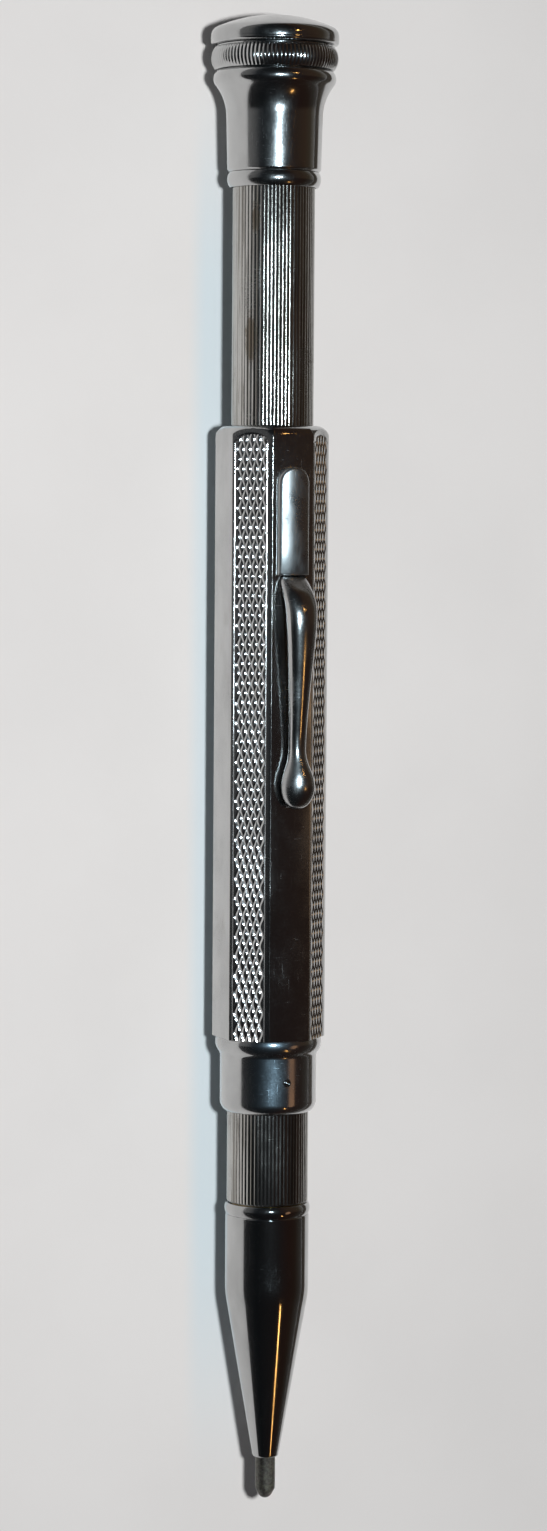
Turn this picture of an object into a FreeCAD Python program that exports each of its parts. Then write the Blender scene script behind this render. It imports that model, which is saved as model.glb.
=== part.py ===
"""Propelling pencil with a sliding octagonal sleeve, a pocket clip and a twist cap.

Millimetres. The pencil lies along Y with its lead towards -Y, its cap towards +Y and its clip up.
Stations are distances from the top of the cap's dome towards the lead. The origin is under the
middle of the pencil, on the surface that the cap's rim stands on.
"""
import FreeCAD, Part
import math
import os

Vector = FreeCAD.Vector

# Overall
TOTAL_LENGTH = 148.2
RIM_RADIUS = 6.34
AXIS_HEIGHT = RIM_RADIUS
FIT_GAP = 0.05
FACE_GAP = 0.08

# Barrel: the fluted tube and what is fixed in it
TUBE_RADIUS = 4.075
TUBE_BORE = 3.675
TUBE_START = 9.6
TUBE_END = 117.9
REAR_BUSH_END = 14.0
NOSE_BUSH_START = 110.0
NOSE_BUSH_END = 124.0
GUIDE_RADIUS = 2.0
GUIDE_BORE = 1.55
GUIDE_START = 63.0
GUIDE_END = 127.8

# Nose
NOSE_RADIUS = 4.2
NOSE_RING_RADIUS = 4.29
NOSE_RING_START = 117.98
NOSE_START = 119.15
CONE_START = 127.1
NOSE_END = 143.95
CONE_END_RADIUS = 1.28
TIP_SLEEVE_RADIUS = 1.6
TIP_SLEEVE_START = 129.0
TIP_SLEEVE_END = 139.5

# Lead and the unit that pushes it
LEAD_RADIUS = 1.0
LEAD_START = 92.5
CARRIER_RADIUS = 1.48
CARRIER_START = 87.5
CARRIER_END = 97.0
ROD_RADIUS = 0.8
PIN_STATION = 72.0
PIN_RADIUS = 0.45
SLIDER_START = 69.5
SLIDER_END = 75.5
FEED_BACK = 4.0
FEED_FORWARD = 30.0
SCREW_PITCH = 10.0

# Cap, with the tubes that turn with it
SKIRT_RADIUS = 4.65
SKIRT_BORE = 4.15
HUB_END = 9.0
HUB_SEAT_RADIUS = 4.6
KNURL_START = 3.15
SKIRT_START = 5.4
HEM_START = 15.38
HEM_END = 16.9
MAGAZINE_RADIUS = 2.6
MAGAZINE_BORE = 2.25
MAGAZINE_START = 3.2
MAGAZINE_END = 60.0
SPIRAL_BORE = GUIDE_RADIUS + FIT_GAP
SPIRAL_END = 107.0
DOME_BOTTOM = 2.95
STEM_RADIUS = 2.2
STEM_END = 8.0

# Octagonal sleeve with its collar
OCTAGON_CORNER_RADIUS = 5.64
OCTAGON_FLAT = OCTAGON_CORNER_RADIUS * math.cos(math.pi / 8)
SLEEVE_START = 40.3
SLEEVE_END = 101.2
SLEEVE_BORE = 4.25
SLEEVE_LIP = 4.15
COLLAR_END = 108.7
COLLAR_RADIUS = 4.83
COLLAR_BEAD_RADIUS = 5.3
COLLAR_BORE = 4.14
SPIGOT_RADIUS = 4.7
SPIGOT_START = 95.0
SPRING_START = 62.0
SPRING_END = 74.0
SPRING_RADIUS = 4.5
STUD_STATION = 105.4
STUD_RADIUS = 0.42

# Clip
BOSS_START = 44.35
BOSS_END = 55.0
BOSS_HALF_WIDTH = 1.67
BOSS_SIDE = 0.45
BOSS_CROWN = 0.82
BOSS_WALL = 0.22
BOSS_HOLLOW_START = 47.0
ROOT_WIDTH = 2.4
ROOT_HEIGHT = 0.3
ROOT_THICKNESS = 0.26
ARM_START = 55.03
ARM_THICKNESS = 0.75
ARM_STATIONS = (  # station, width, height of the middle above the top facet
    (55.5, 2.75, 0.75), (56.2, 2.95, 1.3), (57.4, 3.15, 2.0), (59.3, 3.0, 2.52), (61.3, 2.75, 2.62),
    (63.3, 2.5, 2.52), (65.3, 2.2, 2.32), (67.3, 2.0, 2.1), (69.3, 1.8, 1.86), (71.3, 1.7, 1.6),
    (73.3, 1.8, 1.4), (75.3, 2.0, 1.3),
)
BALL_CENTRE = 75.6
BALL_LENGTH = 4.9
BALL_WIDTH = 3.3
BALL_HEIGHT = 2.2
BALL_GAP = 0.15


def place(station, radius):
    """Point at a station along the pencil, on its +X side."""
    return Vector(radius, TOTAL_LENGTH / 2 - station, AXIS_HEIGHT)


def point(station, x, height):
    """Point at a station, with x across the pencil and height above its axis."""
    return Vector(x, TOTAL_LENGTH / 2 - station, AXIS_HEIGHT + height)


def turned(outline):
    """Solid of revolution about the pencil's axis.

    The outline is a closed run of corners (station, radius). An entry of four numbers is an arc
    that passes through its first point and ends at its second.
    """
    edges = []
    here = outline[0]
    for step in outline[1:] + [outline[0]]:
        end = step[-2:]
        if len(step) == 4:
            edges.append(Part.Arc(place(*here), place(*step[:2]), place(*end)).toShape())
        else:
            edges.append(Part.makeLine(place(*here), place(*end)))
        here = end
    face = Part.Face(Part.Wire(edges))
    return face.revolve(Vector(0, 0, AXIS_HEIGHT), Vector(0, -1, 0), 360)


def tube(start, end, outer, inner):
    """Plain tube between two stations."""
    return turned([(start, inner), (start, outer), (end, outer), (end, inner)])


def rod(start, end, radius, x=0.0, height=0.0):
    """Plain rod parallel to the axis."""
    return Part.makeCylinder(radius, end - start, point(start, x, height), Vector(0, -1, 0))


def block(start, end, width, low, high, x=0.0):
    """Box between two stations, centred on x, between two heights above the axis."""
    corner = point(end, x - width / 2, low)
    return Part.makeBox(width, end - start, high - low, corner)


def fluted_tube():
    return tube(TUBE_START, TUBE_END, TUBE_RADIUS, TUBE_BORE)


def rear_bush():
    """Journal in the tube's rear end, in which the cap's magazine tube turns."""
    return tube(TUBE_START + 0.05, REAR_BUSH_END, TUBE_BORE, MAGAZINE_RADIUS + FACE_GAP)


def friction_washer():
    """Dished washer between the cap's hub and the tube's end."""
    start = HUB_END + FACE_GAP
    inner = MAGAZINE_RADIUS + 0.1
    return turned([(start, inner), (start + 0.16, 4.0), (start + 0.42, 4.0), (start + 0.26, inner)])


def nose_bush():
    return tube(NOSE_BUSH_START, NOSE_BUSH_END, TUBE_BORE, GUIDE_RADIUS)


def guide_tube():
    """Fixed tube with the straight slot that keeps the slider from turning."""
    body = tube(GUIDE_START, GUIDE_END, GUIDE_RADIUS, GUIDE_BORE)
    slot_width = 2 * PIN_RADIUS + 0.12
    start = PIN_STATION - FEED_BACK - slot_width
    end = PIN_STATION + FEED_FORWARD + slot_width
    slot = block(start, end, GUIDE_RADIUS + 1, -slot_width / 2, slot_width / 2, (GUIDE_RADIUS + 1) / 2)
    return body.cut(slot)


def nose_ring():
    start = NOSE_RING_START
    end = NOSE_START
    low = NOSE_RADIUS - 0.07
    return turned([(start, TUBE_BORE), (start, low), ((start + end) / 2, NOSE_RING_RADIUS, end, low),
                   (end, TUBE_BORE)])


def nose_cone():
    """Short cylinder, soft shoulder and long cone, bored for the guide tube and the lead."""
    slope = (NOSE_RADIUS - CONE_END_RADIUS) / (NOSE_END - CONE_START)
    shoulder = 0.9
    shoulder_end = CONE_START + shoulder
    return turned([
        (NOSE_START, TUBE_BORE),
        (NOSE_START, NOSE_RADIUS - 0.06),
        (NOSE_START + 0.12, NOSE_RADIUS),
        (CONE_START - shoulder, NOSE_RADIUS),
        (CONE_START, NOSE_RADIUS - slope * shoulder / 4, shoulder_end, NOSE_RADIUS - slope * shoulder),
        (NOSE_END - 0.25, CONE_END_RADIUS + slope * 0.25),
        (NOSE_END - 0.05, CONE_END_RADIUS - 0.05, NOSE_END, CONE_END_RADIUS - 0.14),
        (NOSE_END, LEAD_RADIUS + 0.06),
        (TIP_SLEEVE_END + 0.1, LEAD_RADIUS + 0.06),
        (TIP_SLEEVE_END + 0.1, TIP_SLEEVE_RADIUS),
        (TIP_SLEEVE_START + 2, TIP_SLEEVE_RADIUS),
        (GUIDE_END + 0.4, 2.6),
        (NOSE_BUSH_END, 3.2),
        (NOSE_BUSH_END, TUBE_BORE),
    ])


def tip_sleeve():
    """Split brass sleeve that grips the lead lightly just behind the tip."""
    body = tube(TIP_SLEEVE_START, TIP_SLEEVE_END, TIP_SLEEVE_RADIUS, LEAD_RADIUS + 0.03)
    slit_start = TIP_SLEEVE_END - 6
    slit = block(slit_start, TIP_SLEEVE_END, 4 * TIP_SLEEVE_RADIUS, -0.12, 0.12)
    return body.cut(slit)


def lead():
    """Writing lead with a blunt worn end."""
    worn_length = 0.85
    return turned([(LEAD_START, 0), (LEAD_START, LEAD_RADIUS), (TOTAL_LENGTH - worn_length, LEAD_RADIUS),
                   (TOTAL_LENGTH, LEAD_RADIUS * 0.42), (TOTAL_LENGTH, 0)])


def lead_carrier():
    """Claw that holds the back end of the lead, on the front of the push rod."""
    return turned([(CARRIER_START, ROD_RADIUS), (CARRIER_START, CARRIER_RADIUS),
                   (CARRIER_END, CARRIER_RADIUS), (CARRIER_END, LEAD_RADIUS),
                   (LEAD_START, LEAD_RADIUS), (LEAD_START, ROD_RADIUS)])


def push_rod():
    return rod(SLIDER_END - 2, LEAD_START, ROD_RADIUS)


def slider():
    """Block that the drive pin is fixed in; it slides inside the guide tube."""
    body = turned([(SLIDER_START, 0), (SLIDER_START, CARRIER_RADIUS), (SLIDER_END, CARRIER_RADIUS),
                   (SLIDER_END, ROD_RADIUS), (SLIDER_END - 2, ROD_RADIUS), (SLIDER_END - 2, 0)])
    return body.cut(drive_pin())


def drive_pin():
    """Pin through the straight slot into the spiral slot."""
    root = 0.3
    length = MAGAZINE_RADIUS - 0.05 - root
    return Part.makeCylinder(PIN_RADIUS, length, point(PIN_STATION, root, 0), Vector(1, 0, 0))


def spiral_sleeve():
    """Turning tube with a left-handed spiral slot that drives the pin along the straight slot."""
    body = tube(MAGAZINE_END, SPIRAL_END, MAGAZINE_RADIUS, SPIRAL_BORE)
    half_width = PIN_RADIUS + 0.1
    end_room = 1.0
    start = PIN_STATION - FEED_BACK - end_room
    length = FEED_BACK + FEED_FORWARD + 2 * end_room
    mid_radius = (SPIRAL_BORE + MAGAZINE_RADIUS) / 2
    half_depth = 0.6
    helix = Part.makeLongHelix(SCREW_PITCH, length, mid_radius, 0, True)
    tangent = Vector(0, -2 * math.pi * mid_radius, SCREW_PITCH)
    tangent.normalize()
    outward = Vector(1, 0, 0)
    sideways = tangent.cross(outward)
    centre = Vector(mid_radius, 0, 0)
    corners = []
    for along, across in ((-1, -1), (1, -1), (1, 1), (-1, 1), (-1, -1)):
        corners.append(centre + outward * (along * half_depth) + sideways * (across * half_width))
    cutter = Part.Wire(helix).makePipeShell([Part.makePolygon(corners)], True, True)
    cutter.rotate(Vector(0, 0, 0), Vector(1, 0, 0), 90)
    turn = 360 * (PIN_STATION - start) / SCREW_PITCH
    cutter.rotate(Vector(0, 0, 0), Vector(0, -1, 0), turn)
    cutter.translate(point(start, 0, 0))
    return body.cut(cutter)


def magazine_tube():
    return tube(MAGAZINE_START, MAGAZINE_END, MAGAZINE_RADIUS, MAGAZINE_BORE)


def magazine_floor():
    """Plug between the magazine and the spiral sleeve."""
    start = MAGAZINE_END - 3
    end = MAGAZINE_END + 2
    return turned([(start, 0), (start, MAGAZINE_BORE), (MAGAZINE_END, MAGAZINE_BORE),
                   (MAGAZINE_END, SPIRAL_BORE), (end, SPIRAL_BORE), (end, 0)])


def spare_leads():
    """Three spare leads, side by side in the magazine."""
    reach = LEAD_RADIUS * 1.16
    leads = []
    for index in range(3):
        angle = math.radians(90 + 120 * index)
        leads.append(rod(10, 56, LEAD_RADIUS, reach * math.cos(angle), reach * math.sin(angle)))
    return Part.Compound(leads)


def retaining_ring():
    """Ring on the magazine tube that keeps the cap on the barrel."""
    start = REAR_BUSH_END + 0.15
    return tube(start, start + 1.0, 3.4, MAGAZINE_RADIUS)


def cap_hub():
    """Core that the skirt, the knurled ring and the magazine tube are fixed to."""
    flange_start = 3.0
    return turned([
        (flange_start, MAGAZINE_RADIUS), (flange_start, 5.72), (KNURL_START, 5.72),
        (KNURL_START, HUB_SEAT_RADIUS), (SKIRT_START, HUB_SEAT_RADIUS), (SKIRT_START, SKIRT_BORE),
        (HUB_END, SKIRT_BORE), (HUB_END, MAGAZINE_RADIUS),
    ])


def knurled_ring():
    middle = (KNURL_START + SKIRT_START) / 2
    return turned([(KNURL_START, HUB_SEAT_RADIUS), (KNURL_START, 5.75),
                   (middle, 6.28, SKIRT_START, 5.72), (SKIRT_START, HUB_SEAT_RADIUS)])


def cap_skirt():
    """Bead, concave flare and straight skirt."""
    return turned([
        (SKIRT_START, SKIRT_BORE),
        (SKIRT_START, 5.62),
        (6.2, 6.07, 6.85, 5.88),
        (7.85, 5.25, 9.8, 4.78),
        (HEM_START - 0.25, SKIRT_RADIUS),
        (HEM_START, SKIRT_RADIUS - 0.2),
        (HEM_START, SKIRT_BORE),
    ])


def cap_hem():
    """Rolled ring at the mouth of the skirt."""
    middle = (HEM_START + HEM_END) / 2
    return turned([(HEM_START, SKIRT_BORE), (HEM_START, SKIRT_RADIUS - 0.2),
                   (middle - 0.1, SKIRT_RADIUS, HEM_END, SKIRT_RADIUS - 0.3), (HEM_END, SKIRT_BORE)])


def cap_dome():
    """Domed disc with a rounded rim, which closes the magazine."""
    return turned([
        (0, 0),
        (0.315, 2.98, 1.25, 5.85),
        (1.5, 6.14, 2.0, RIM_RADIUS - 0.01),
        (2.25, RIM_RADIUS, 2.5, RIM_RADIUS - 0.02),
        (2.82, 6.26, DOME_BOTTOM, 6.0),
        (DOME_BOTTOM, STEM_RADIUS),
        (1.75, STEM_RADIUS),
        (1.75, 0),
    ])


def plug_stem():
    """Stem under the dome that plugs the magazine."""
    return turned([(1.75, 0), (1.75, STEM_RADIUS), (STEM_END - 0.4, STEM_RADIUS),
                   (STEM_END, STEM_RADIUS - 0.4), (STEM_END, 0)])


def octagonal_sleeve():
    """Octagonal tube whose cap end is rounded in towards the fluted tube."""
    corners = []
    for index in range(9):
        angle = math.radians(22.5 + 45 * index)
        x = OCTAGON_CORNER_RADIUS * math.cos(angle)
        corners.append(point(SLEEVE_END, x, OCTAGON_CORNER_RADIUS * math.sin(angle)))
    prism = Part.Face(Part.makePolygon(corners)).extrude(Vector(0, SLEEVE_END - SLEEVE_START, 0))
    rounded = turned([
        (SLEEVE_START, SLEEVE_LIP),
        (SLEEVE_START, 4.45),
        (SLEEVE_START + 0.42, 5.32, SLEEVE_START + 1.9, OCTAGON_CORNER_RADIUS + 0.02),
        (SLEEVE_END, OCTAGON_CORNER_RADIUS + 0.02),
        (SLEEVE_END, SPIGOT_RADIUS),
        (SPIGOT_START, SPIGOT_RADIUS),
        (SPIGOT_START, SLEEVE_BORE),
        (SPRING_END + 0.1, SLEEVE_BORE),
        (SPRING_END + 0.1, SPRING_RADIUS + 0.05),
        (SPRING_START - 0.1, SPRING_RADIUS + 0.05),
        (SPRING_START - 0.1, SLEEVE_BORE),
        (SLEEVE_START + 1.5, SLEEVE_BORE),
        (SLEEVE_START + 1.5, SLEEVE_LIP),
    ])
    return prism.common(rounded)


def sleeve_collar():
    """Beaded collar on the sleeve's lead end, with a spigot inside the sleeve."""
    body = turned([
        (SPIGOT_START, COLLAR_BORE),
        (SPIGOT_START, SPIGOT_RADIUS),
        (SLEEVE_END, SPIGOT_RADIUS),
        (SLEEVE_END, COLLAR_BEAD_RADIUS - 0.08),
        (SLEEVE_END + 0.75, COLLAR_BEAD_RADIUS, SLEEVE_END + 1.5, COLLAR_BEAD_RADIUS - 0.32),
        (SLEEVE_END + 1.85, COLLAR_RADIUS),
        (COLLAR_END - 1.1, COLLAR_RADIUS),
        (COLLAR_END - 0.36, COLLAR_RADIUS - 0.2, COLLAR_END, COLLAR_BORE + 0.12),
        (COLLAR_END, COLLAR_BORE),
    ])
    return body.cut(collar_stud())


def collar_stud():
    """Small round stud set in the collar, in line with the clip."""
    foot = point(STUD_STATION, 0, COLLAR_BORE + 0.1)
    height = COLLAR_RADIUS - COLLAR_BORE
    shank = Part.makeCylinder(STUD_RADIUS, height, foot, Vector(0, 0, 1))
    return shank.makeFillet(0.12, [edge for edge in shank.Edges if edge.BoundBox.ZMin > foot.z + height / 2])


def friction_spring():
    """Split band in the sleeve's bore that holds the sleeve where it is put."""
    band = tube(SPRING_START, SPRING_END, SPRING_RADIUS, TUBE_RADIUS + 0.1)
    slit = block(SPRING_START, SPRING_END, 2.0, -SPRING_RADIUS - 1, 0)
    return band.cut(slit)


def crowned_bar(start, end, half_width, side, crown):
    """Low bar on the top facet: upright sides and a gently crowned top."""
    base = OCTAGON_FLAT
    left = point(end, -half_width, base)
    right = point(end, half_width, base)
    left_top = point(end, -half_width, base + side)
    right_top = point(end, half_width, base + side)
    edges = [
        Part.makeLine(left, left_top),
        Part.Arc(left_top, point(end, 0, base + crown), right_top).toShape(),
        Part.makeLine(right_top, right),
        Part.makeLine(right, left),
    ]
    return Part.Face(Part.Wire(edges)).extrude(Vector(0, end - start, 0))


def clip_boss():
    """Low crowned cover on the top facet, rounded in plan at the cap end, which holds the clip's root."""
    bar = crowned_bar(BOSS_START, BOSS_END, BOSS_HALF_WIDTH, BOSS_SIDE, BOSS_CROWN)
    centre = BOSS_START + BOSS_HALF_WIDTH
    foot = point(centre, 0, OCTAGON_FLAT - 1)
    outline = Part.makeCylinder(BOSS_HALF_WIDTH, 3, foot, Vector(0, 0, 1))
    outline = outline.fuse(block(centre, BOSS_END, 2 * BOSS_HALF_WIDTH, OCTAGON_FLAT - 1, OCTAGON_FLAT + 2))
    hollow = crowned_bar(BOSS_HOLLOW_START, BOSS_END, BOSS_HALF_WIDTH - BOSS_WALL, BOSS_SIDE - BOSS_WALL / 2,
                         BOSS_CROWN - BOSS_WALL)
    return bar.common(outline).cut(hollow).removeSplitter()


def clip_root():
    """Flat tang of the clip, held inside the boss."""
    low = OCTAGON_FLAT + ROOT_HEIGHT - ROOT_THICKNESS / 2
    return block(BOSS_HOLLOW_START + 0.2, BOSS_END - 0.05, ROOT_WIDTH, low, low + ROOT_THICKNESS)


def clip_section(station, width, middle, thickness):
    """Oval section across the clip, at a height above the top facet."""
    centre = point(station, 0, OCTAGON_FLAT + middle)
    oval = Part.Ellipse(centre + Vector(width / 2, 0, 0), centre + Vector(0, 0, thickness / 2), centre)
    return Part.Wire(oval.toShape())


def clip_arm():
    """Spring arm that rises out of the boss, arches over to a slim waist and ends in a ball."""
    sections = [clip_section(ARM_START, ROOT_WIDTH, ROOT_HEIGHT, ROOT_THICKNESS)]
    for station, width, middle in ARM_STATIONS:
        sections.append(clip_section(station, width, middle, ARM_THICKNESS))
    arm = Part.makeLoft(sections, True)
    ball = Part.makeSphere(1.0)
    stretch = FreeCAD.Matrix()
    stretch.scale(BALL_WIDTH / 2, BALL_LENGTH / 2, BALL_HEIGHT / 2)
    ball = ball.transformGeometry(stretch)
    ball.translate(point(BALL_CENTRE, 0, OCTAGON_FLAT + BALL_HEIGHT / 2 + BALL_GAP))
    return arm.fuse(ball)


NODES = (
    fluted_tube, rear_bush, friction_washer, nose_bush, guide_tube, nose_ring, nose_cone, tip_sleeve,
    lead, lead_carrier, push_rod, slider, drive_pin,
    spiral_sleeve, magazine_tube, magazine_floor, spare_leads, retaining_ring, cap_hub, knurled_ring,
    cap_skirt, cap_hem, cap_dome, plug_stem,
    octagonal_sleeve, sleeve_collar, collar_stud, friction_spring, clip_boss, clip_root, clip_arm,
)


os.makedirs("parts", exist_ok=True)
for make in NODES:
    shape = make()
    shape.exportStep("parts/" + make.__name__ + ".step")
    box = shape.BoundBox
    print(f"{make.__name__:18s} valid {shape.isValid()} solids {len(shape.Solids)} volume {shape.Volume:9.3f}"
          f"  y {box.YMin:7.2f} {box.YMax:7.2f}  z {box.ZMin:6.2f} {box.ZMax:6.2f}")
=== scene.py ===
"""Visual model of the propelling pencil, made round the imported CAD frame.

Stations are millimetres from the top of the cap's dome towards the lead, as in the CAD source.
Heights and radii are millimetres from the pencil's axis. at() and ring() turn them into metres.
"""
import math

import bmesh
import bpy
import numpy as np
from mathutils import Matrix, Vector


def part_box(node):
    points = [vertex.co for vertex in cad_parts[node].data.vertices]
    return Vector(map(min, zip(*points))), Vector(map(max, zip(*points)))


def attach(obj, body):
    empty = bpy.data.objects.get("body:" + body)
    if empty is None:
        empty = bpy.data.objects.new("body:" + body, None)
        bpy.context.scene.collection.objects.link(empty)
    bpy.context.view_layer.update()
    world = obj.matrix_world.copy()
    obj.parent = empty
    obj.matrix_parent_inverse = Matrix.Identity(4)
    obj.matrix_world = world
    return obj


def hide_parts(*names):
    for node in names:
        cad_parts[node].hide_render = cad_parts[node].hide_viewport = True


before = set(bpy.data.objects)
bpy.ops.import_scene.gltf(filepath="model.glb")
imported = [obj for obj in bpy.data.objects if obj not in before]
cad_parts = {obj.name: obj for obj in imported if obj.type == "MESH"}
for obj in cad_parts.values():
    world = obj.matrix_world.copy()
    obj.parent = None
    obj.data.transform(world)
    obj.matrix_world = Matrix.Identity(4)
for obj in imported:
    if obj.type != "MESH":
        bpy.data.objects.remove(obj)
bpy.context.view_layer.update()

MM = 0.001
TAU = 2 * math.pi
SCENE = bpy.context.scene

TOP_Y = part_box("cap_dome")[1][1]
AXIS_Z = (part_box("fluted_tube")[0][2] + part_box("fluted_tube")[1][2]) / 2


def first(node):
    """Station of a node's end nearer the cap."""
    return (TOP_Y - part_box(node)[1][1]) / MM


def last(node):
    """Station of a node's end nearer the lead."""
    return (TOP_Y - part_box(node)[0][1]) / MM


def reach(node):
    """Largest radius of a turned node."""
    return (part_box(node)[1][0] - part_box(node)[0][0]) / 2 / MM


def at(station, x, height):
    return (x * MM, TOP_Y - station * MM, AXIS_Z + height * MM)


def ring(station, radius, angles):
    """Points round the axis at a station. Angles run from straight up towards +X."""
    radius = np.broadcast_to(radius, angles.shape)
    return np.stack([radius * np.sin(angles) * MM, np.full(angles.shape, TOP_Y - station * MM),
                     AXIS_Z + radius * np.cos(angles) * MM], axis=1)


def evenly(count):
    return np.arange(count) * TAU / count


def smoothstep(low, high, value):
    t = np.clip((value - low) / (high - low), 0, 1)
    return t * t * (3 - 2 * t)


# ---------------------------------------------------------------- mesh helpers

def skin(rings, closed):
    """Corners and faces of a surface through rings of points. A ring of one point is a pole."""
    starts = np.cumsum([0] + [len(r) for r in rings])
    faces = []
    order = list(range(len(rings))) + ([0] if closed else [])
    for a, b in zip(order, order[1:]):
        i, j = starts[a], starts[b]
        n, m = len(rings[a]), len(rings[b])
        for k in range(max(n, m)):
            k2 = (k + 1) % max(n, m)
            if n == 1:
                faces.append((i, j + k2, j + k))
            elif m == 1:
                faces.append((i + k, i + k2, j))
            else:
                faces.append((i + k, i + k2, j + k2, j + k))
    return np.concatenate(rings), faces


def add_piece(name, points, faces, material, body, slot, nodes, crease=32):
    """Adds a closed mesh that stands for CAD nodes, with soft shading inside creases."""
    mesh = bpy.data.meshes.new(name)
    mesh.from_pydata([tuple(p) for p in points], [], [tuple(int(i) for i in f) for f in faces])
    work = bmesh.new()
    work.from_mesh(mesh)
    bmesh.ops.remove_doubles(work, verts=work.verts, dist=1e-8)
    bmesh.ops.recalc_face_normals(work, faces=work.faces)
    work.to_mesh(mesh)
    work.free()
    mesh.polygons.foreach_set("use_smooth", [True] * len(mesh.polygons))
    mesh.set_sharp_from_angle(angle=math.radians(crease))
    mesh.materials.append(material)
    piece = bpy.data.objects.new(name, mesh)
    SCENE.collection.objects.link(piece)
    weighted = piece.modifiers.new("weighted", "WEIGHTED_NORMAL")
    weighted.keep_sharp = True
    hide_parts(*nodes)
    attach(piece, body)
    return piece


def arc_through(a, b, c, steps):
    """Points after a, up to c, on the circle through three points."""
    (ax, ay), (bx, by), (cx, cy) = a, b, c
    d = 2 * (ax * (by - cy) + bx * (cy - ay) + cx * (ay - by))
    sa, sb, sc = ax * ax + ay * ay, bx * bx + by * by, cx * cx + cy * cy
    ox = (sa * (by - cy) + sb * (cy - ay) + sc * (ay - by)) / d
    oy = (sa * (cx - bx) + sb * (ax - cx) + sc * (bx - ax)) / d
    start, through, end = (math.atan2(y - oy, x - ox) for x, y in (a, b, c))
    turn, part = (end - start) % TAU, (through - start) % TAU
    if part > turn:
        turn -= TAU
    size = math.hypot(ax - ox, ay - oy)
    return [(ox + size * math.cos(start + turn * k / steps), oy + size * math.sin(start + turn * k / steps))
            for k in range(1, steps + 1)]


def traced(outline, steps=12):
    """Outline of (station, radius) corners; four numbers are an arc through a point to another."""
    points = [tuple(outline[0])]
    for step in outline[1:]:
        if len(step) == 4:
            points += arc_through(points[-1], step[:2], step[2:], steps)
        else:
            points.append(tuple(step))
    return points


SHARP_TURN = math.radians(24)


def softened(points, size, closed):
    """The outline with a small round at each corner that turns sharply."""
    out = []
    count = len(points)
    for k, here in enumerate(points):
        if not closed and k in (0, count - 1):
            out.append(here)
            continue
        before, after = points[k - 1], points[(k + 1) % count]
        a = np.subtract(before, here)
        b = np.subtract(after, here)
        la, lb = np.hypot(*a), np.hypot(*b)
        turn = math.pi - math.acos(np.clip(np.dot(a, b) / (la * lb), -1, 1))
        if turn < SHARP_TURN:
            out.append(here)
            continue
        cut = min(size, 0.45 * la, 0.45 * lb)
        p, q = here + a / la * cut, here + b / lb * cut
        for t in (0, 0.2, 0.5, 0.8, 1):
            out.append(tuple((1 - t) ** 2 * p + 2 * t * (1 - t) * np.array(here) + t * t * q))
    return out


def lathe(name, outline, material, body, slot, nodes, sides, soft, shape=None):
    """Turned piece with corners rounded by soft. shape(station, radius, angles) gives radii round a ring."""
    closed = outline[0][-1] > 0
    points = softened(traced(outline), soft, closed)
    angles = evenly(sides)
    rings = []
    for station, radius in points:
        if radius < 1e-6:
            rings.append(np.array([at(station, 0, 0)]))
        else:
            rings.append(ring(station, shape(station, radius, angles) if shape else radius, angles))
    return add_piece(name, *skin(rings, closed), material, body, slot, nodes)


# ---------------------------------------------------------------- materials

class Surface:
    """A Principled material with short calls for the nodes that drive it."""

    def __init__(self, name, colour, metallic, roughness):
        self.material = bpy.data.materials.new(name)
        self.material.use_nodes = True
        self.tree = self.material.node_tree
        self.shader = self.tree.nodes["Principled BSDF"]
        self.shader.inputs["Base Color"].default_value = (*colour, 1)
        self.shader.inputs["Metallic"].default_value = metallic
        self.shader.inputs["Roughness"].default_value = roughness
        self.place = self.node("ShaderNodeTexCoord").outputs["Object"]

    def node(self, kind, **settings):
        made = self.tree.nodes.new(kind)
        for key, value in settings.items():
            setattr(made, key, value)
        return made

    def feed(self, socket, value):
        if isinstance(value, bpy.types.NodeSocket):
            self.tree.links.new(value, socket)
        else:
            socket.default_value = value

    def stretched(self, scale, shift=(0, 0, 0), turn=(0, 0, 0)):
        mapping = self.node("ShaderNodeMapping")
        self.feed(mapping.inputs["Vector"], self.place)
        mapping.inputs["Scale"].default_value = scale
        mapping.inputs["Location"].default_value = shift
        mapping.inputs["Rotation"].default_value = turn
        return mapping.outputs["Vector"]

    def noise(self, scale, detail, vector, rough, distortion=0.0):
        noise = self.node("ShaderNodeTexNoise")
        self.feed(noise.inputs["Vector"], vector or self.place)
        noise.inputs["Scale"].default_value = scale
        noise.inputs["Detail"].default_value = detail
        noise.inputs["Roughness"].default_value = rough
        noise.inputs["Distortion"].default_value = distortion
        return noise.outputs["Fac"]

    def ramp(self, value, low, high, start=0.0, end=1.0):
        """Maps low..high of a value to start..end, smoothly and clamped."""
        remap = self.node("ShaderNodeMapRange", interpolation_type="SMOOTHSTEP")
        given = {"Value": value, "From Min": low, "From Max": high, "To Min": start, "To Max": end}
        for key, number in given.items():
            self.feed(remap.inputs[key], number)
        return remap.outputs["Result"]

    def math(self, operation, a, b):
        made = self.node("ShaderNodeMath", operation=operation)
        self.feed(made.inputs[0], a)
        self.feed(made.inputs[1], b)
        return made.outputs["Value"]

    def blend(self, amount, first_colour, second_colour):
        mix = self.node("ShaderNodeMix", data_type="RGBA")
        self.feed(mix.inputs[0], amount)
        for socket, value in ((mix.inputs[6], first_colour), (mix.inputs[7], second_colour)):
            self.feed(socket, value if isinstance(value, bpy.types.NodeSocket) else (*value, 1))
        return mix.outputs[2]

    def bump(self, height, distance, strength):
        bump = self.node("ShaderNodeBump")
        bump.inputs["Strength"].default_value = strength
        bump.inputs["Distance"].default_value = distance
        self.feed(bump.inputs["Height"], height)
        return bump.outputs["Normal"]

    def set(self, key, value):
        self.feed(self.shader.inputs[key], value)


TARNISH = (0.16, 0.115, 0.07)
DULLED = (0.15, 0.138, 0.115)
HAZE_ROUGHNESS = 0.37
HAZE_IOR = 1.6


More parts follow.
